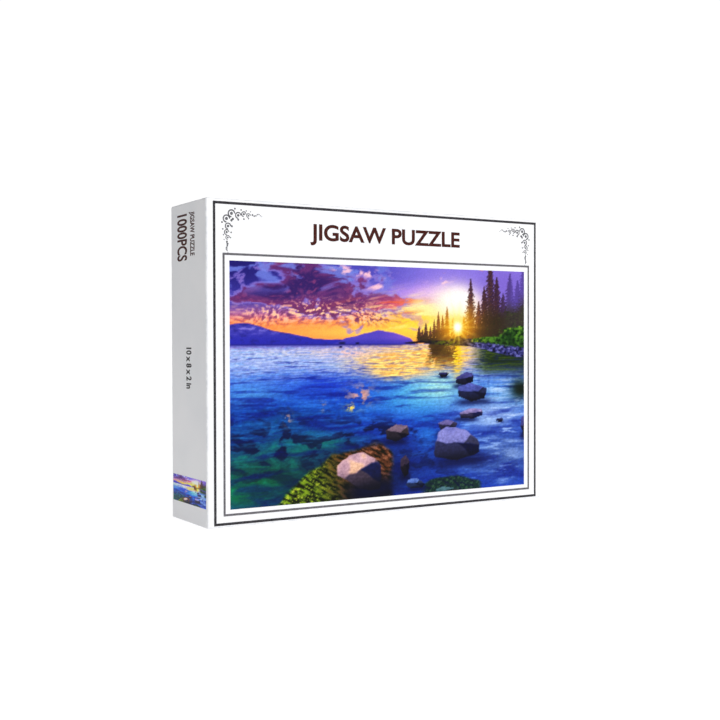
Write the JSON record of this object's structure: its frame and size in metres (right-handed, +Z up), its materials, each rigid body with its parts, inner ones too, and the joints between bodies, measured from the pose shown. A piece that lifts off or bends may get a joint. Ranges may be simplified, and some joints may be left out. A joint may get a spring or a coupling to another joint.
{
  "type": "boxed jigsaw puzzle",
  "caption": "Rigid slip-lid box of a jigsaw puzzle, stood on its long side, holding a film bag of loose interlocking pieces and a folded picture sheet.",
  "frame": {"origin": "middle of the footprint: halfway along the width and depth of the closed box, at the height of the face it stands on", "axes": "+X to the viewer's right along the printed panel, +Y from the printed panel to the back of the tray, +Z up; the printed panel faces -Y"},
  "size_m": [0.254, 0.0556, 0.1954],
  "materials": {
    "printed_paper": "satin",
    "plain_paper": "matte",
    "greyboard": "matte",
    "stay_tape": "matte",
    "picture_paper": "gloss",
    "bag_film": "gloss",
    "puzzle_board": "satin"
  },
  "bodies": {
    "tray": {"tray_board": "greyboard", "tray_corner_stays": "stay_tape", "tray_wrap": "plain_paper"},
    "lid": {"lid_board": "greyboard", "lid_corner_stays": "stay_tape", "lid_wrap": "printed_paper"},
    "sheet": {"picture_sheet": "picture_paper"},
    "bag": {"piece_bag": "bag_film", "puzzle_row_01": "puzzle_board", "puzzle_row_02": "puzzle_board", "puzzle_row_03": "puzzle_board", "puzzle_row_04": "puzzle_board", "puzzle_row_05": "puzzle_board", "puzzle_row_06": "puzzle_board", "puzzle_row_07": "puzzle_board", "puzzle_row_08": "puzzle_board", "puzzle_row_09": "puzzle_board", "puzzle_row_10": "puzzle_board", "puzzle_row_11": "puzzle_board", "puzzle_row_12": "puzzle_board", "puzzle_row_13": "puzzle_board", "puzzle_row_14": "puzzle_board", "puzzle_row_15": "puzzle_board", "puzzle_row_16": "puzzle_board", "puzzle_row_17": "puzzle_board", "puzzle_row_18": "puzzle_board", "puzzle_row_19": "puzzle_board", "puzzle_row_20": "puzzle_board", "puzzle_row_21": "puzzle_board", "puzzle_row_22": "puzzle_board", "puzzle_row_23": "puzzle_board", "puzzle_row_24": "puzzle_board", "puzzle_row_25": "puzzle_board"}
  },
  "joints": [
    {"name": "lid_slide", "type": "slide", "parent": "tray", "child": "lid", "axis": [0, -1, 0], "range_m": [0, 0.17]},
    {"name": "sheet_slide", "type": "slide", "parent": "tray", "child": "sheet", "axis": [0, -1, 0], "range_m": [0, 0.1]},
    {"name": "bag_slide", "type": "slide", "parent": "tray", "child": "bag", "axis": [0, -1, 0], "range_m": [0, 0.06]}
  ],
  "couplings": [
    {"joint": "sheet_slide", "follows": "lid_slide", "ratio": 0.588},
    {"joint": "bag_slide", "follows": "lid_slide", "ratio": 0.352}
  ]
}
